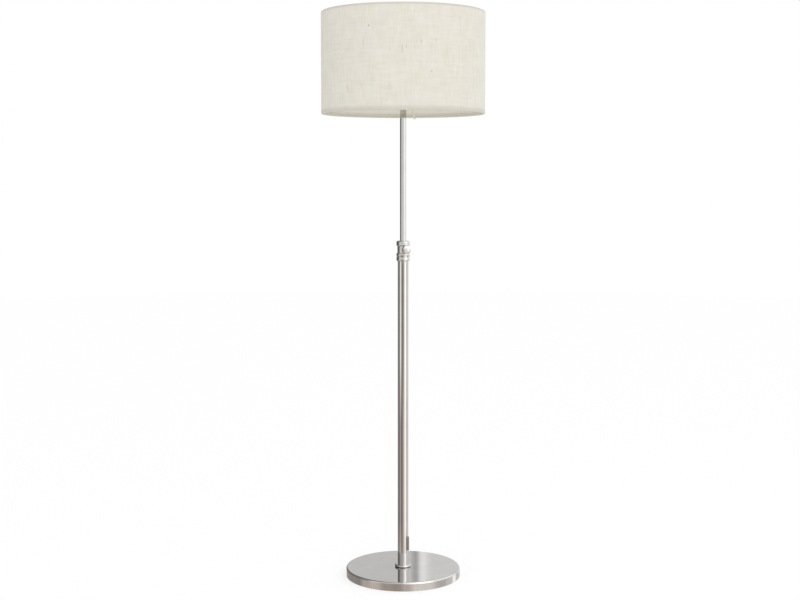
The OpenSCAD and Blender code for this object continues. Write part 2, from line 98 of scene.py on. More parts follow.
def put(tree, kind, inputs=None, stops=None, **settings):
    """Adds one shader node. inputs maps a socket to a value, or to the socket or node that feeds it."""
    made = tree.nodes.new("ShaderNode" + kind)
    for name, value in settings.items():
        setattr(made, name, value)
    if stops:
        ramp = made.color_ramp
        while len(ramp.elements) < len(stops):
            ramp.elements.new(1.0)
        for element, (place, colour) in zip(ramp.elements, stops):
            element.position = place
            element.color = colour
    for key, value in (inputs or {}).items():
        if isinstance(value, bpy.types.Node):
            value = next(socket for socket in value.outputs if socket.enabled)
        if isinstance(value, bpy.types.NodeSocket):
            tree.links.new(value, made.inputs[key])
        else:
            made.inputs[key].default_value = value
    return made


def start_material(name):
    """A material with an empty node tree."""
    material = bpy.data.materials.new(name)
    material.use_nodes = True
    material.node_tree.nodes.clear()
    return material, material.node_tree


def end_material(tree, colour, height, depth_mm, **sockets):
    """Closes a material with a bump of depth_mm and a Principled surface."""
    relief = put(tree, "Bump", {"Height": height, "Distance": depth_mm * MM, "Strength": 1.0})
    inputs = {"Base Color": colour, "Normal": relief}
    inputs.update({key.replace("_", " "): value for key, value in sockets.items()})
    surface = put(tree, "BsdfPrincipled", inputs)
    put(tree, "OutputMaterial", {"Surface": surface})


def grain(tree, place, size_mm, low, high, stretch=(1, 1, 1), detail=2.0, seed=0.0):
    """A grain about size_mm across, on coordinates in metres, whose middle span goes from low to high."""
    scale = [1 / (size_mm * MM * s) for s in stretch]
    spread = put(tree, "Mapping", {"Vector": place, "Scale": scale, "Location": [seed, seed, seed]})
    cells = put(tree, "TexNoise", {"Vector": spread, "Scale": 1.0, "Detail": detail})
    span = {"Value": cells, "From Min": 0.3, "From Max": 0.7, "To Min": low, "To Max": high}
    return put(tree, "MapRange", span)


def total(tree, *parts):
    """The sum of several numbers."""
    whole = parts[0]
    for part in parts[1:]:
        whole = put(tree, "Math", {0: whole, 1: part}, operation="ADD")
    return whole


# A polishing line along a tube is this many times as long as wide
LINE_LENGTHS = 170


def polished_lines(tree, place, along, size_mm):
    """Fine lines that a wheel leaves: round the lamp's axis, or along it."""
    parts = put(tree, "SeparateXYZ", {"Vector": place})
    if along == "ring":
        flat = put(tree, "CombineXYZ", {"X": parts.outputs["X"], "Y": parts.outputs["Y"]})
        away = put(tree, "VectorMath", {0: flat}, operation="LENGTH")
        line = put(tree, "CombineXYZ", {"X": away, "Y": parts.outputs["Z"]})
        return grain(tree, line, size_mm, 0.0, 1.0, detail=3.0)
    return grain(tree, place, size_mm, 0.0, 1.0, (1, 1, LINE_LENGTHS), detail=3.0)


# ---- Finishes ----


def nickel_plate(name, along):
    """Bright nickel plate on polished steel: a warm grey mirror with faint polishing lines.
    along is "ring" where the lines run round the axis and "length" where they run up it."""
    material, tree = start_material(name)
    place = put(tree, "TexCoord").outputs["Object"]
    # lines 0.9 mm apart, coarser than the real 0.1 mm so that they show
    lines = polished_lines(tree, place, along, 0.9)
    # handling leaves patches about 60 mm across that are a little less bright
    smudge = grain(tree, place, 60, 0.0, 0.010, detail=4.0, seed=3.7)
    dull = put(tree, "MapRange", {"Value": lines, "To Min": 0.018, "To Max": 0.030})
    cloudy = grain(tree, place, 35, 0.0, 1.0, seed=9.1)
    tint = put(tree, "Mix", {0: cloudy, 6: linear("C9C8C6"), 7: linear("C5C3C1")}, data_type="RGBA")
    end_material(tree, tint, lines, 0.0012, Metallic=1.0, Roughness=total(tree, dull, smudge))
    return material


def speckled(name, colour, other, size_mm, depth_mm, **sockets):
    """A finish with a grain of two tones and the same grain in relief."""
    material, tree = start_material(name)
    place = put(tree, "TexCoord").outputs["Object"]
    fine = grain(tree, place, size_mm, 0.0, 0.5, detail=3.0)
    broad = grain(tree, place, size_mm * 14, 0.0, 0.5, detail=3.0, seed=6.2)
    both = total(tree, fine, broad)
    tint = put(tree, "Mix", {0: both, 6: linear(colour), 7: linear(other)}, data_type="RGBA")
    rough = sockets.pop("Roughness")
    uneven = put(
        tree, "MapRange",
        {"Value": broad, "From Max": 0.5, "To Min": rough * 0.8, "To Max": min(1.0, rough * 1.2)},
    )
    end_material(tree, tint, fine, depth_mm, Roughness=uneven, **sockets)
    return material


def turned_metal(name, colour, other, roughness):
    """A lathe-turned metal: fine rings round the lamp's axis, 0.8 mm apart so that they show."""
    material, tree = start_material(name)
    place = put(tree, "TexCoord").outputs["Object"]
    lines = polished_lines(tree, place, "ring", 0.8)
    stain = grain(tree, place, 12, 0.0, 1.0, detail=3.0)
    tint = put(tree, "Mix", {0: stain, 6: linear(colour), 7: linear(other)}, data_type="RGBA")
    uneven = put(tree, "MapRange", {"Value": lines, "To Min": roughness * 0.7, "To Max": roughness * 1.5})
    end_material(tree, tint, lines, 0.008, Metallic=1.0, Roughness=uneven)
    return material


# Thick places in the linen's yarn that stand out: angle from the front towards the right in degrees,
# height over the drum's lower edge, half width and half height in mm, and how dark
KNOTS = [
    (-23.5, 203, 2.9, 2.3, 0.80),
    (-27.5, 166, 2.2, 14, 0.26),
    (-0.6, 146, 1.8, 13, 0.34),
    (1.8, 152, 1.6, 8, 0.24),
    (12.0, 164, 2.6, 6, 0.24),
    (19.0, 94, 3.2, 4, 0.28),
    (21.8, 168, 2.4, 7, 0.22),
    (-40.4, 54, 2.0, 13, 0.24),
    (-29.0, 60, 3.0, 4, 0.18),
    (-9.0, 60, 2.0, 12, 0.14),
]


def natural_linen(hem_h):
    """Natural slub linen: plain weave of uneven yarn, pale oatmeal, with a few thick places and a knot."""
    material, tree = start_material("natural_linen")
    cloth = put(tree, "UVMap", uv_map="cloth")
    place = put(tree, "TexCoord").outputs["Object"]
    # slubs are thick places in the yarn, up and across: 3 to 8 mm wide where yarns lie double,
    # and 35 to 50 mm long
    slub = total(
        tree,
        grain(tree, cloth, 3.2, -0.12, 0.12, (1, 12, 1), seed=3.1),
        grain(tree, cloth, 3.0, -0.10, 0.10, (12, 1, 1), seed=8.7),
        grain(tree, cloth, 8.0, -0.15, 0.15, (1, 6, 1), seed=5.3),
        grain(tree, cloth, 7.0, -0.13, 0.13, (7, 1, 1), seed=1.9),
    )
    tone = total(tree, slub, grain(tree, cloth, 28, 0.36, 0.64, seed=4.4))
    body = put(tree, "Mix", {0: tone, 6: linear("E2DECF"), 7: linear("F2EFE4")}, data_type="RGBA")
    # washing leaves broad patches that are a little pink
    pink = grain(tree, cloth, 60, 0.0, 0.22, (1, 1.6, 1), seed=7.5)
    warm = put(tree, "Mix", {0: pink, 6: body, 7: linear("F0E8E3")}, data_type="RGBA")
    dark = 0.0
    for degrees, up, half_wide, half_high, depth in KNOTS:
        turn = math.radians(degrees)
        middle = (DRUM_HIGH.x * math.sin(turn), -DRUM_HIGH.x * math.cos(turn), DRUM_LOW.z + up * MM)
        stretch = (1 / (half_wide * MM), 1 / (half_wide * MM), 1 / (half_high * MM))
        off = put(tree, "VectorMath", {0: place, 1: middle}, operation="SUBTRACT")
        off = put(tree, "VectorMath", {0: off, 1: stretch}, operation="MULTIPLY")
        off = put(tree, "VectorMath", {0: off}, operation="LENGTH")
        fading = {"Value": off, "From Min": 0.3, "From Max": 1.1, "To Min": depth, "To Max": 0.0}
        spot = put(tree, "MapRange", fading)
        dark = put(tree, "Math", {0: dark, 1: spot}, operation="MAXIMUM")
    knotted = put(tree, "Mix", {0: dark, 6: warm, 7: linear("A49D89")}, data_type="RGBA")
    # painted shade: where the cloth is turned in, no light comes through it, so the cloth at both hems is
    # painted darker
    z = put(tree, "SeparateXYZ", {"Vector": place}).outputs["Z"]
    low_end, high_end = DRUM_LOW.z + hem_h, DRUM_HIGH.z
    low_hem_shade, high_hem_shade = (
        put(
            tree, "MapRange",
            {"Value": z, "From Min": below, "From Max": above, "To Min": dark_below, "To Max": dark_above},
            interpolation_type="SMOOTHSTEP",
        )
        for below, above, dark_below, dark_above in (
            (low_end - 8 * MM, low_end + 3.5 * MM, 0.50, 0.0),
            (high_end - 8 * MM, high_end - 2 * MM, 0.0, 0.52),
        )
    )
    # the painted shade of both hems together, which darkens the cloth towards C6C1B2
    hems = put(tree, "Math", {0: low_hem_shade, 1: high_hem_shade}, operation="MAXIMUM")
    tint = put(tree, "Mix", {0: hems, 6: knotted, 7: linear("C6C1B2")}, data_type="RGBA")
    # single yarns 1.3 mm apart, twice the real 0.65 mm so that they show close up
    warp = grain(tree, cloth, 1.3, -0.5, 0.5, (1, 18, 1), detail=0.0, seed=2.2)
    weft = grain(tree, cloth, 1.3, -0.5, 0.5, (18, 1, 1), detail=0.0, seed=6.6)
    relief = total(tree, slub, slub, warp, weft)
    end_material(tree, tint, relief, 0.05, Roughness=0.92, Sheen_Weight=0.12, Sheen_Roughness=0.5)
    return material


def all_finishes():
    """The finishes of the pieces that keep their CAD shape, by record slot."""
    return {
        # sand-cast grey iron under black primer: gritty and nearly matt
        "cast_iron": speckled("primed_cast_iron", "232425", "38383A", 1.6, 0.35, Roughness=0.72),
        # zinc plate, blue passivated: a cloudy grey metal
        "zinc_steel": speckled(
            "zinc_plated_steel", "A9ADB3", "C3C6C9", 1.2, 0.02, Metallic=1.0, Roughness=0.34
        ),
        # grey ABS moulded in a spark-eroded tool: a fine dull grain
        "outlet_plastic": speckled("spark_eroded_abs", "8A8A86", "9B9B96", 0.7, 0.03, Roughness=0.5),
        # PVC sheath: smooth, slightly waxy
        "lead_sheath": speckled("pvc_sheath", "DDD9CB", "E6E2D6", 1.5, 0.01, Roughness=0.38),
        # natural nylon: milky, with a soft shine
        "nylon": speckled("natural_nylon", "E0DCCD", "EBE8DD", 1.5, 0.015, Roughness=0.42),
        # bright turned brass
        "brass": turned_metal("turned_brass", "D6B46C", "C79F55", 0.2),
        # urea moulding: glossy ivory with a slight flow mottle
        "holder_plastic": speckled("urea_moulding", "E6E3D8", "EEECE3", 2.2, 0.012, Roughness=0.24),
        # dark phenolic block
        "switch_plastic": speckled("phenolic_moulding", "2E2D2C", "3D3B39", 1.0, 0.03, Roughness=0.4),
        # glazed porcelain: bright white, with the pull of the glaze
        "porcelain": speckled("glazed_porcelain", "E9E9E4", "F1F1EE", 5.0, 0.05, Roughness=0.12),
        # satin powder coat with its orange peel
        "white_wire": speckled("white_powder_coat", "E6E6E2", "EFEFEC", 1.1, 0.04, Roughness=0.36),
        # calendered styrene sheet: matt, very slightly cloudy
        "liner_plastic": speckled("styrene_sheet", "ECE9DF", "F3F1E9", 1.8, 0.01, Roughness=0.62),
        # glossy cream moulding
        "pull_plastic": speckled("cream_acetal", "E9E5D3", "F1EEDF", 1.4, 0.01, Roughness=0.26),
    }


# ---- Modelling by operators ----


def alone():
    """Leaves object mode with nothing selected."""
    if bpy.context.object and bpy.context.object.mode != "OBJECT":
        bpy.ops.object.mode_set(mode="OBJECT")
    bpy.ops.object.select_all(action="DESELECT")


def start_line(name, points):
    """A new object whose mesh is a line through points, drawn by extruding one vertex."""
    alone()
    bpy.ops.mesh.primitive_plane_add(size=MM, location=(0, 0, 0))
    piece = bpy.context.object
    piece.name = piece.data.name = name
    bpy.ops.object.mode_set(mode="EDIT")
    bpy.ops.mesh.select_mode(type="VERT")
    bpy.ops.mesh.select_all(action="SELECT")
    bpy.ops.mesh.merge(type="CENTER")
    bpy.ops.transform.translate(value=points[0])
    for a, b in zip(points, points[1:]):
        step = Vector(b) - Vector(a)
        bpy.ops.mesh.extrude_region_move(TRANSFORM_OT_translate={"value": step})
    return piece


def close_up(angle_deg):
    """Merges doubles, points the faces outwards and smooths all but the sharp edges."""
    bpy.ops.object.mode_set(mode="EDIT")
    bpy.ops.mesh.select_all(action="SELECT")
    bpy.ops.mesh.remove_doubles(threshold=1e-6)
    bpy.ops.mesh.normals_make_consistent(inside=False)
    bpy.ops.object.mode_set(mode="OBJECT")
    bpy.ops.object.shade_smooth_by_angle(angle=math.radians(angle_deg))


def apply_modifier(piece, kind, **settings):
    """Adds one modifier and applies it."""
    if piece.mode != "OBJECT":
        bpy.ops.object.mode_set(mode="OBJECT")
    made = piece.modifiers.new(kind.title(), kind)
    for name, value in settings.items():
        setattr(made, name, value)
    bpy.context.view_layer.objects.active = piece
    bpy.ops.object.modifier_apply(modifier=made.name)


def dress(piece, material, body=None):
    """Gives a finished piece its material and, if it has only one, its body."""
    piece.data.materials.clear()
    piece.data.materials.append(material)
    if body:
        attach(piece, body)
    alone()


# ---- Sizes a user would change ----


class LampSizes(bpy.types.PropertyGroup):
    """Sizes of the pieces that are modelled here."""

    cloth_thick: FloatProperty(
        name="Cloth thickness", description="Thickness of the linen", default=0.8 * MM, unit="LENGTH"
    )
    hem_height: FloatProperty(
        name="Hem height", description="Height of the turned-in hems", default=12 * MM, unit="LENGTH"
    )
    seam_lap: FloatProperty(
        name="Seam lap", description="Overlap of the linen at the back seam", default=10 * MM, unit="LENGTH"
    )
    lead_rings: IntProperty(
        name="Lead rings", description="Rings of the inner lead between its ends", default=40, min=8
    )
    yarn_relief: FloatProperty(
        name="Yarn relief", description="Height of the cloth's unevenness", default=0.14 * MM, unit="LENGTH"
    )
    pad_count: IntProperty(name="Pads", description="Number of felt pads", default=6, min=3, max=12)
    shell_pitch: FloatProperty(
        name="Lamp thread pitch", description="Pitch of the lamp thread", default=3.63 * MM, unit="LENGTH"
    )
    skirt_pitch: FloatProperty(
        name="Skirt thread pitch", description="Pitch of the thread that holds the shade", default=2.5 * MM,
        unit="LENGTH",
    )


class StageSettings(bpy.types.PropertyGroup):
    """Light levels of the stage."""

    soft_light: FloatProperty(
        name="Soft light", description="Level of the even light from all round", default=0.925, min=0.0
    )
    left_share: FloatProperty(
        name="Left share", description="Share of the even light that comes from the left", default=0.68,
        min=0.0, max=1.0, subtype="FACTOR",
    )
    key_light: FloatProperty(
        name="Key light", description="Power of the soft lamp at the right", default=11.0,
        min=0.0, unit="POWER",
    )
    warmth: FloatVectorProperty(
        name="Light colour", description="Colour of the key light", default=(1.0, 0.99, 0.975),
        subtype="COLOR", size=3,
    )


# ---- Stage ----

# What bright metal sees round it: one row for each flat or soft box of the studio. A row has its two angles
# from the viewer towards the right, then levels for metal that looks up, level, a little down, down and
# steeply down, and its warmth.
STUDIO = [
    (-180, -172, 0.76, 0.30, 0.32, 0.32, 0.90, 0.0),
    (-158, -97, 0.27, 0.13, 0.31, 0.31, 0.40, 0.6),
    (-87, -76, 0.38, 0.36, 0.30, 0.30, 0.66, 1.0),
    (-66, -52, 0.78, 0.98, 1.48, 0.62, 0.79, 1.0),
    (-40, -28, 0.82, 0.92, 0.62, 0.28, 0.54, 1.1),
    (-17, -6, 0.90, 0.92, 0.30, 0.40, 0.50, 1.1),
    (3, 10, 1.20, 1.02, 0.42, 0.68, 0.70, 1.0),
    (24, 34, 1.75, 1.20, 1.28, 1.28, 1.06, 0.6),
    (46, 60, 2.60, 1.62, 1.95, 1.78, 1.02, 0.6),
    (75, 92, 1.22, 1.40, 0.80, 0.60, 0.71, 0.6),
    (102, 116, 1.45, 1.18, 1.08, 0.98, 0.86, 0.1),
    (124, 130, 1.45, 1.15, 1.05, 1.00, 1.45, 0.0),
    (139, 180, 0.86, 1.05, 1.00, 0.92, 0.72, 0.0),
]
# The heights at which one set of levels has given way to the next, as the sine of the angle over level
STUDIO_STEPS = [(0.25, 0.08), (-0.050, -0.062), (-0.13, -0.18), (-0.25, -0.29)]
# The studio is warm low down and plain white above: how much of a row's warmth each height has
WARM_SHARES = [0.0, 0.1, 0.6, 1.0, 1.0]
BRIGHTEST = 3.0
# Straight behind the lamp, from BEHIND_FROM degrees on, is a gap between two backdrops, given as angles with
# shares of their level, none above BEHIND_MOST
BEHIND_FROM = 178
BEHIND = [
    (178.6, 1.00), (178.8, 1.12), (178.93, 1.28), (179.07, 1.26), (179.16, 1.00),
    (179.25, 0.64), (179.34, 0.58), (179.48, 0.76), (179.62, 0.95), (180, 0.97),
]
BEHIND_MOST = 2.0
# The even light on cloth is lower from the left, between these angles, with edges this soft, in radians
SHADY_FROM, SHADY_TO = math.radians(-175), math.radians(-80)
SHADY_EDGE = 0.1
FLOOR_R = 9.0
# The floor's own glow: as light on the lamp, and as the camera sees it
FLOOR_GLOW = 0.5
FLOOR_GLOW_SEEN = 0.66
# The soft key lamp, high at the right and in front
KEY_PLACE = Vector((1.5, -3.2, 2.6))
KEY_AIM = Vector((0, 0, 1.0))
KEY_SIZE = 2.0


def studio_stops(height):
    """Colour stops that go once round, from one height of the studio's levels."""
    stops = []
    for row in STUDIO:
        warmth = row[-1] * WARM_SHARES[height]
        level = row[2 + height] / BRIGHTEST
        for angle in row[:2]:
            colour = [level, level * (1 - 0.11 * warmth), level * (1 - 0.19 * warmth), 1.0]
            stops.append(((angle + 180) / 360, colour))
    return stops


class LAMP_OT_stage(bpy.types.Operator):
    """Sets up the pale floor, the even light, the key lamp and the photograph's camera"""

    bl_idname = "lamp.stage"
    bl_label = "Stage"

    def execute(self, context):
        light = context.scene.lamp_stage
        alone()
        self.camera(context)
        self.surround(context, light)
        self.floor()
        self.key(light)
        context.scene.view_settings.view_transform = "Standard"
        return {"FINISHED"}

    def camera(self, context):
        """A camera at the photograph's distance and viewing angle."""
        mid_x = (PICTURE_W - 1) / 2
        place = ((mid_x - AXIS_PX) * CAMERA_AWAY / FOCAL_PX, -CAMERA_AWAY, CAMERA_UP)
        bpy.ops.object.camera_add(location=place, rotation=(math.radians(90 - CAMERA_PITCH_DEG), 0, 0))
        made = context.object
        made.name = "camera"
        made.data.sensor_fit = "HORIZONTAL"
        made.data.sensor_width = SENSOR_MM
        made.data.lens = FOCAL_PX / PICTURE_W * SENSOR_MM
        made.data.shift_y = CAMERA_SHIFT
        context.scene.camera = made

    def surround(self, context, light):
        """White to the camera, a soft level on cloth, and the studio's flats and boxes in bright metal."""
        world = bpy.data.worlds.new("soft_studio")
        context.scene.world = world
        world.use_nodes = True
        tree = world.node_tree
        tree.nodes.clear()
        way = put(tree, "SeparateXYZ", {"Vector": put(tree, "TexCoord").outputs["Generated"]})
        up = way.outputs["Z"]
        away = put(tree, "Math", {0: way.outputs["Y"], 1: -1.0}, operation="MULTIPLY")
        angle = put(tree, "Math", {0: way.outputs["X"], 1: away}, operation="ARCTAN2")
        share = put(tree, "MapRange", {"Value": angle, "From Min": -math.pi, "From Max": math.pi})
        levels = put(tree, "ValToRGB", {"Fac": share}, stops=studio_stops(0))
        late = math.radians(BEHIND_FROM)
        narrow = put(tree, "MapRange", {"Value": angle, "From Min": late, "From Max": math.pi})
        # a ramp holds colours up to 1, so the gap's levels are brought down for it and up again after it
        stops = [
            ((a - BEHIND_FROM) / (180 - BEHIND_FROM), (*[v / BEHIND_MOST] * 3, 1.0)) for a, v in BEHIND
        ]
        gap = put(tree, "ValToRGB", {"Fac": narrow}, stops=stops)
        gap_level = put(tree, "VectorMath", {0: gap, "Scale": BEHIND_MOST}, operation="SCALE")
        levels = put(tree, "VectorMath", {0: levels, 1: gap_level}, operation="MULTIPLY")
        for i, (above, below) in enumerate(STUDIO_STEPS):
            lower = put(tree, "ValToRGB", {"Fac": share}, stops=studio_stops(i + 1))
            fall = put(tree, "MapRange", {"Value": up, "From Min": above, "From Max": below})
            levels = put(tree, "Mix", {0: fall, 6: levels, 7: lower}, data_type="RGBA")
        # what stands on the studio's floor breaks up its level, in streaks about 3 degrees wide
        streak = put(tree, "CombineXYZ", {"X": angle})
        streaks = grain(tree, streak, 50, 0.93, 1.07, detail=1.0)
        above, below = STUDIO_STEPS[-1]
        steep = put(tree, "MapRange", {"Value": up, "From Min": above, "From Max": below})
        broken = put(tree, "Mix", {0: steep, 2: 1.0, 3: streaks}, data_type="FLOAT")
        strength = put(tree, "Math", {0: broken, 1: BRIGHTEST}, operation="MULTIPLY")
        metal = put(tree, "Background", {"Color": levels, "Strength": strength})
        side, back = (
            put(tree, "MapRange", {"Value": angle, "From Min": dim, "From Max": bright})
            for dim, bright in (
                (SHADY_TO - SHADY_EDGE, SHADY_TO + SHADY_EDGE),
                (SHADY_FROM + SHADY_EDGE, SHADY_FROM - SHADY_EDGE),
            )
        )
        lit = put(tree, "Math", {0: side, 1: back}, operation="MAXIMUM")
        soft = put(
            tree, "MapRange",
            {"Value": lit, "To Min": light.soft_light * light.left_share, "To Max": light.soft_light},
        )
        even = put(tree, "Background", {"Color": (1, 1, 1, 1), "Strength": soft})
        white = put(tree, "Background", {"Color": (1, 1, 1, 1), "Strength": 1.0})
        path = put(tree, "LightPath")
        seen = put(
            tree, "Math", {0: path.outputs["Is Camera Ray"], 1: path.outputs["Is Transmission Ray"]},
            operation="MAXIMUM",
        )
        first = put(tree, "MixShader", {0: path.outputs["Is Glossy Ray"], 1: even, 2: metal})
        last = put(tree, "MixShader", {0: seen, 1: first, 2: white})
        put(tree, "OutputWorld", {"Surface": last})

    def floor(self):
        """A plain pale floor that shows the lamp's shadow and doesn't hide the studio from bright metal."""
        bpy.ops.mesh.primitive_circle_add(vertices=96, radius=FLOOR_R, fill_type="NGON", location=(0, 0, 0))
        floor = bpy.context.object
        floor.name = "floor"
        material, tree = start_material("pale_floor")
        path = put(tree, "LightPath")
        paint = put(tree, "BsdfDiffuse", {"Color": linear("A8A8A8")})
        seen = path.outputs["Is Camera Ray"]
        level = put(tree, "MapRange", {"Value": seen, "To Min": FLOOR_GLOW, "To Max": FLOOR_GLOW_SEEN})
        glow = put(tree, "Emission", {"Color": (1, 1, 1, 1), "Strength": level})
        both = put(tree, "AddShader", {0: paint, 1: glow})
        clear = put(tree, "BsdfTransparent")
        last = put(tree, "MixShader", {0: path.outputs["Is Glossy Ray"], 1: both, 2: clear})
        put(tree, "OutputMaterial", {"Surface": last})
        floor.data.materials.append(material)
        alone()

    def key(self, light):
        """The key lamp, kept out of the reflections."""
        aim = (KEY_AIM - KEY_PLACE).to_track_quat("-Z", "Y").to_euler()
        bpy.ops.object.light_add(type="AREA", location=KEY_PLACE, rotation=aim)
        lamp = bpy.context.object
        lamp.name = "key_lamp"
        lamp.data.size = KEY_SIZE
        lamp.data.energy = light.key_light
        lamp.data.color = light.warmth
        lamp.visible_glossy = False
        alone()


# ---- Pieces ----


# How the linen is drawn: steps round each wire, rows up the drum, columns round it, and the step in the hems
WIRE_STEPS = 9
DRUM_ROWS = 70
DRUM_COLUMNS = 380
HEM_STEP = 2 * MM
# Between the drum and its turned-in hems, room for the liner
LINER_GAP = 0.55 * MM
# The turned-in cloth runs straight from this far past each wire
PAST_WIRE = 3 * MM
# At the seam the lapped cloth lies this far off the cloth under it
LAP_SLACK = 0.1 * MM
# The cloth is even within this height of the drum's edges, and lies this far inside the CAD drum
EVEN_EDGE = 6 * MM
DRUM_INSET = 0.1 * MM


def cloth_path(sizes):
    """The linen in section, from the top of the lower turned-in hem, round both wires, to the end of the
    upper one: points (radius, height) with the distance along the cloth."""
    half = sizes.cloth_thick / 2
    outer = DRUM_HIGH.x - half
    wire_r = (WIRE_HIGH.z - WIRE_LOW.z) / 2
    wire_at = WIRE_HIGH.x - wire_r
    bend = outer - wire_at
    low, high = DRUM_LOW.z + bend + half, DRUM_HIGH.z - bend - half
    inner = outer - sizes.cloth_thick - LINER_GAP
    rise = wire_r + PAST_WIRE
    points = [(inner, DRUM_LOW.z + sizes.hem_height - i * HEM_STEP) for i in range(3)]
    points.append((inner, low + rise))
    points.append((wire_at - bend, low + wire_r))
    points += [
        (wire_at + bend * math.cos(a), low + bend * math.sin(a))
        for a in (math.pi + math.pi * i / WIRE_STEPS for i in range(WIRE_STEPS + 1))
    ]
    points += [(outer, low + (high - low) * i / DRUM_ROWS) for i in range(1, DRUM_ROWS)]
    points += [
        (wire_at + bend * math.cos(a), high + bend * math.sin(a))
        for a in (math.pi * i / WIRE_STEPS for i in range(WIRE_STEPS + 1))
    ]
    points.append((wire_at - bend, high - wire_r))
    points.append((inner, high - rise))
    points += [(inner, DRUM_HIGH.z - sizes.hem_height + (2 - i) * HEM_STEP) for i in range(3)]
    along = [0.0]
    for a, b in zip(points, points[1:]):
        along.append(along[-1] + math.dist(a, b))
    return points, along


def clamped(share):
    """A share, kept from 0 to 1."""
    return min(1.0, max(0.0, share))


class LAMP_OT_linen_drum(bpy.types.Operator):
    """Wraps the linen round the wires: one cut length, turned in at both edges and lapped at the back"""

    bl_idname = "lamp.linen_drum"
    bl_label = "Linen drum"

    def execute(self, context):
        sizes = context.scene.lamp_sizes
        points, along = cloth_path(sizes)
        rows = len(points) - 1
        outer = DRUM_HIGH.x
        around = math.tau * outer + sizes.seam_lap
        alone()
        bpy.ops.mesh.primitive_grid_add(
            x_subdivisions=DRUM_COLUMNS, y_subdivisions=rows, size=1.0, calc_uvs=True
        )
        drum = context.object
        drum.name = drum.data.name = "linen_drum"
        mesh = drum.data
        mesh.uv_layers[0].name = "cloth"
        lap_share = sizes.seam_lap / around
        start = math.pi / 2 - sizes.seam_lap / 2 / outer
        for v in mesh.vertices:
            share = v.co.x + 0.5
            row = round((v.co.y + 0.5) * rows)
            radius, z = points[row]
            angle = start + share * around / outer
            # the last stretch of the cloth rides over its own beginning
            over = clamped((share - 1 + 1.4 * lap_share) / (0.4 * lap_share))
            face = 1.0 if radius > DRUM_HIGH.x - sizes.cloth_thick else -0.4
            radius += face * over * (sizes.cloth_thick + LAP_SLACK)
            # the cloth sags a little in broad waves, and its slubs stand out in narrow upright ones
            wave = Vector((share * around * 9, along[row] * 26, 0.5))
            slub = Vector((share * around * 55, along[row] * 6, 7.5))
            uneven = noise.noise(wave) + 0.7 * noise.noise(slub)
            keep = clamped((z - DRUM_LOW.z) / EVEN_EDGE) * clamped((DRUM_HIGH.z - z) / EVEN_EDGE)
            radius += uneven * sizes.yarn_relief * keep - DRUM_INSET
            v.co = (radius * math.cos(angle), radius * math.sin(angle), z)
        # the cloth's coordinates are metres along and across it, so that its yarns keep their real size
        for corner in mesh.uv_layers["cloth"].data:
            u, v = corner.uv
            corner.uv = (u * around, along[round(v * rows)])
        mesh.update()
        apply_modifier(drum, "SOLIDIFY", thickness=sizes.cloth_thick, offset=0.0, use_even_offset=True)
        close_up(60)
        dress(drum, natural_linen(sizes.hem_height), "mast")
        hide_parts("shade_fabric")
        return {"FINISHED"}


# The felt pads: their radius, softened edge and unevenness, and the height below which they stay flat
PAD_R = 10 * MM
PAD_EDGE = 0.5 * MM
PAD_UNEVEN = 0.06 * MM
FLAT_BELOW = 0.2 * MM
PAD_SEED = 7


class LAMP_OT_felt_pads(bpy.types.Operator):
    """Cuts the felt pads, each with a softened, slightly uneven edge"""

    bl_idname = "lamp.felt_pads"
    bl_label = "Felt pads"

    def execute(self, context):
        pads = context.scene.lamp_sizes.pad_count
        low, high = PAD_LOW.z, PAD_HIGH.z
        reach = PAD_HIGH.x - PAD_R
        edge = PAD_EDGE
        line = [
            (0, 0, low + edge * 0.1),
            (PAD_R * 0.5, 0, low),
            (PAD_R - edge * 1.4, 0, low),
            (PAD_R - edge * 0.4, 0, low + edge * 0.4),
            (PAD_R, 0, low + edge * 1.4),
            (PAD_R - edge * 0.2, 0, low + (high - low) / 2),
            (PAD_R, 0, high - edge),
            (PAD_R - edge * 0.5, 0, high - edge * 0.2),
            (PAD_R - edge * 1.5, 0, high),
            (0, 0, high),
        ]
        pad = start_line("felt_pads", line)
        bpy.ops.mesh.select_all(action="SELECT")
        bpy.ops.mesh.spin(steps=40, angle=math.tau, center=(0, 0, 0), axis=(0, 0, 1))
        bpy.ops.mesh.select_all(action="SELECT")
        bpy.ops.mesh.remove_doubles(threshold=1e-6)
        bpy.ops.transform.translate(value=(reach, 0, 0))
        turn = math.tau / pads
        places = [Vector((reach * math.cos(turn * i), reach * math.sin(turn * i), 0)) for i in range(pads)]
        # each further pad is a copy of the last one, moved to the next place round the axis
        for here, there in zip(places, places[1:]):
            bpy.ops.mesh.duplicate_move(TRANSFORM_OT_translate={"value": there - here})
        close_up(80)
        # the faces on the floor stay flat; without a seed of its own this noise would change with the clock
        noise.seed_set(PAD_SEED)
        for v in pad.data.vertices:
            if v.co.z > low + FLAT_BELOW:
                v.co += PAD_UNEVEN * noise.noise_vector(v.co * 900)
        # pressed wool felt: black fibres about 1 mm long, no shine
        felt = speckled("pressed_wool_felt", "1B1B1C", "343334", 1.0, 0.3, Roughness=1.0, Sheen_Weight=0.3)
        dress(pad, felt, "stand")
        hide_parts("base_pads")
        return {"FINISHED"}


# Steps in one turn of a thread, and how near a level a point counts as on it
THREAD_STEPS = 64
NEAR = 1e-6


def thread(name, points, pitch, turns, low, high):
    """A helical surface from a profile one pitch long, cut level at both ends. It is left in edit mode."""
    piece = start_line(name, points)
    apply_modifier(
        piece, "SCREW", axis="Z", screw_offset=pitch, iterations=turns, steps=THREAD_STEPS,
        render_steps=THREAD_STEPS, use_merge_vertices=True, merge_threshold=NEAR,
    )
    bpy.ops.object.mode_set(mode="EDIT")
    for z, side in ((low, "clear_inner"), (high, "clear_outer")):
        bpy.ops.mesh.select_all(action="SELECT")
        bpy.ops.mesh.bisect(plane_co=(0, 0, z), plane_no=(0, 0, 1), **{side: True})
    return piece


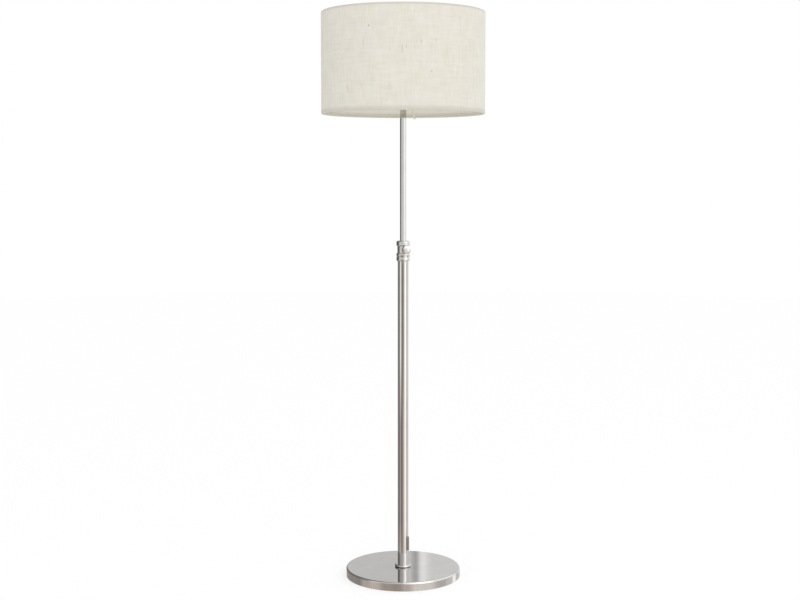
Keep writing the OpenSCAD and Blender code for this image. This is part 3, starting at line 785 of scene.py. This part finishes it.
# The rolled lamp thread: how far it swings from its middle line, the sheet that it is rolled from, the room
# that it keeps inside the CAD shell, the gap under it, and the radius of the well in its floor
ROLLED_DEPTH = 0.6 * MM
SHELL_THICK = 0.25 * MM
SHELL_ROOM = 0.75 * MM
SHELL_GAP = 0.3 * MM
WELL_R = 9.2 * MM
PROFILE_STEPS = 12


class LAMP_OT_lamp_thread(bpy.types.Operator):
    """Rolls the brass shell's round lamp thread and its floor"""

    bl_idname = "lamp.lamp_thread"
    bl_label = "Lamp thread"

    def execute(self, context):
        pitch = context.scene.lamp_sizes.shell_pitch
        low, high = SHELL_LOW.z + SHELL_GAP, SHELL_HIGH.z
        mid = SHELL_HIGH.x - SHELL_ROOM
        line = []
        for i in range(PROFILE_STEPS + 1):
            out = mid + ROLLED_DEPTH * math.cos(math.tau * i / PROFILE_STEPS)
            line.append((out, 0, low - 1.5 * pitch + pitch * i / PROFILE_STEPS))
        turns = math.ceil((high - low) / pitch) + 3
        shell = thread("lamp_thread", line, pitch, turns, low, high)
        # the floor of the shell turns in to the well of the centre contact,
        # and the rim at its mouth turns in too
        bpy.ops.object.mode_set(mode="OBJECT")
        for v in shell.data.vertices:
            v.select = v.co.z < low + NEAR
        bpy.ops.object.mode_set(mode="EDIT")
        bpy.ops.mesh.extrude_region()
        share = WELL_R / mid
        bpy.ops.transform.resize(value=(share, share, 1), center_override=(0, 0, low))
        close_up(60)
        apply_modifier(shell, "SOLIDIFY", thickness=SHELL_THICK, offset=0.0)
        close_up(60)
        dress(shell, turned_metal("rolled_brass", "D8B872", "C49C54", 0.18), "mast")
        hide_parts("screw_shell")
        return {"FINISHED"}


# The moulded thread: its root is sunk in the skirt's wall and its rounded crest stands out. It starts above
# the shade's ring, stops below the skirt's top, and turns in at both ends to END_SHARE of its radius.
SKIRT_R = 19.75 * MM
ROOT_SINK = 0.35 * MM
CREST_RISE = 0.5 * MM
CREST_ROUND = 0.12 * MM
THREAD_UP = 0.6 * MM
THREAD_DOWN = 2.2 * MM
END_SHARE = 0.93


class LAMP_OT_skirt_thread(bpy.types.Operator):
    """Adds the moulded thread that the shade's ring screws onto"""

    bl_idname = "lamp.skirt_thread"
    bl_label = "Skirt thread"

    def execute(self, context):
        pitch = context.scene.lamp_sizes.skirt_pitch
        low, high = RING_HIGH.z + THREAD_UP, SKIRT_HIGH.z - THREAD_DOWN
        root, crest = SKIRT_R - ROOT_SINK, SKIRT_R + CREST_RISE
        line = [
            (root, 0, low - pitch),
            (root, 0, low - 0.72 * pitch),
            (crest - CREST_ROUND, 0, low - 0.56 * pitch),
            (crest, 0, low - 0.5 * pitch),
            (crest - CREST_ROUND, 0, low - 0.44 * pitch),
            (root, 0, low - 0.28 * pitch),
            (root, 0, low),
        ]
        turns = math.ceil((high - low) / pitch) + 2
        skirt = thread("skirt_thread", line, pitch, turns, low, high)
        # both level ends close inwards, inside the skirt's own wall
        for z in (low, high):
            bpy.ops.object.mode_set(mode="OBJECT")
            for e in skirt.data.edges:
                e.select = False
            for v in skirt.data.vertices:
                v.select = abs(v.co.z - z) < NEAR
            bpy.ops.object.mode_set(mode="EDIT")
            bpy.ops.mesh.extrude_region()
            bpy.ops.transform.resize(value=(END_SHARE, END_SHARE, 1), center_override=(0, 0, z))
        bpy.ops.mesh.select_all(action="DESELECT")
        bpy.ops.mesh.select_non_manifold()
        bpy.ops.mesh.bridge_edge_loops()
        close_up(40)
        urea = speckled("urea_thread", "E6E3D8", "EEECE3", 2.2, 0.012, Roughness=0.26)
        dress(skirt, urea, "mast")
        return {"FINISHED"}


class LAMP_OT_plated_parts(bpy.types.Operator):
    """Gives the base, foot ring, tubes, collar and knob their bright nickel plate"""

    bl_idname = "lamp.plated_parts"
    bl_label = "Plated parts"

    def execute(self, context):
        ring = nickel_plate("nickel_plate_turned", "ring")
        length = nickel_plate("nickel_plate_drawn", "length")
        for name, material in (
            ("base_cover", ring), ("foot_ring", ring), ("collar", ring), ("clamp_knob", ring),
            ("tube_top_plug", ring), ("lower_tube", length), ("upper_tube", length),
        ):
            NODES[name].material_slots[0].material = material
        return {"FINISHED"}


class LAMP_OT_other_parts(bpy.types.Operator):
    """Gives every other CAD piece the finish of its material slot"""

    bl_idname = "lamp.other_parts"
    bl_label = "Other parts"

    def execute(self, context):
        finishes = all_finishes()
        for row in frame["record"]["subparts"]:
            node = NODES[row["node"]]
            if row["material_slot"] in finishes:
                node.material_slots[0].material = finishes[row["material_slot"]]
        return {"FINISHED"}


class LAMP_OT_inner_lead(bpy.types.Operator):
    """Draws the lead in the tubes as a plain round cord; on the lamp it is held at the outlet, carried up
    and down by the slider, and gathers and stretches as the telescope moves
    """

    bl_idname = "lamp.inner_lead"
    bl_label = "Inner lead"

    def execute(self, context):
        rings = context.scene.lamp_sizes.lead_rings
        low_end, high_end = (0, 0, LEAD_LOW.z), (0, 0, LEAD_HIGH.z)
        length = LEAD_HIGH.z - LEAD_LOW.z
        side = [(LEAD_HIGH.x, 0, LEAD_LOW.z + length * i / rings) for i in range(rings + 1)]
        lead = start_line("lead_in_tubes", [low_end, *side, high_end])
        bpy.ops.mesh.select_all(action="SELECT")
        bpy.ops.mesh.spin(steps=24, angle=math.tau, center=(0, 0, 0), axis=(0, 0, 1))
        close_up(35)
        dress(lead, NODES["inner_lead"].material_slots[0].material)
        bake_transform(lead)
        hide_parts("inner_lead")
        return {"FINISHED"}


class LAMP_PT_panel(bpy.types.Panel):
    """Lists the lamp's pieces and sizes"""

    bl_idname = "LAMP_PT_panel"
    bl_label = "Floor Lamp"
    bl_space_type = "VIEW_3D"
    bl_region_type = "UI"
    bl_category = "Floor Lamp"

    def draw(self, context):
        for group in (context.scene.lamp_sizes, context.scene.lamp_stage):
            for name in type(group).__annotations__:
                self.layout.prop(group, name)
        for operator in OPERATORS:
            self.layout.operator(operator.bl_idname)


OPERATORS = (
    LAMP_OT_stage,
    LAMP_OT_plated_parts,
    LAMP_OT_other_parts,
    LAMP_OT_inner_lead,
    LAMP_OT_linen_drum,
    LAMP_OT_felt_pads,
    LAMP_OT_lamp_thread,
    LAMP_OT_skirt_thread,
)
CLASSES = (LampSizes, StageSettings, *OPERATORS, LAMP_PT_panel)


def register():
    """Registers the classes and their settings."""
    for c in CLASSES:
        bpy.utils.register_class(c)
    bpy.types.Scene.lamp_sizes = PointerProperty(type=LampSizes)
    bpy.types.Scene.lamp_stage = PointerProperty(type=StageSettings)


def unregister():
    """Removes them again."""
    del bpy.types.Scene.lamp_stage
    del bpy.types.Scene.lamp_sizes
    for c in reversed(CLASSES):
        bpy.utils.unregister_class(c)


def main():
    register()
    for operator in OPERATORS:
        group, name = operator.bl_idname.split(".")
        getattr(getattr(bpy.ops, group), name)()


if __name__ == "__main__":
    main()
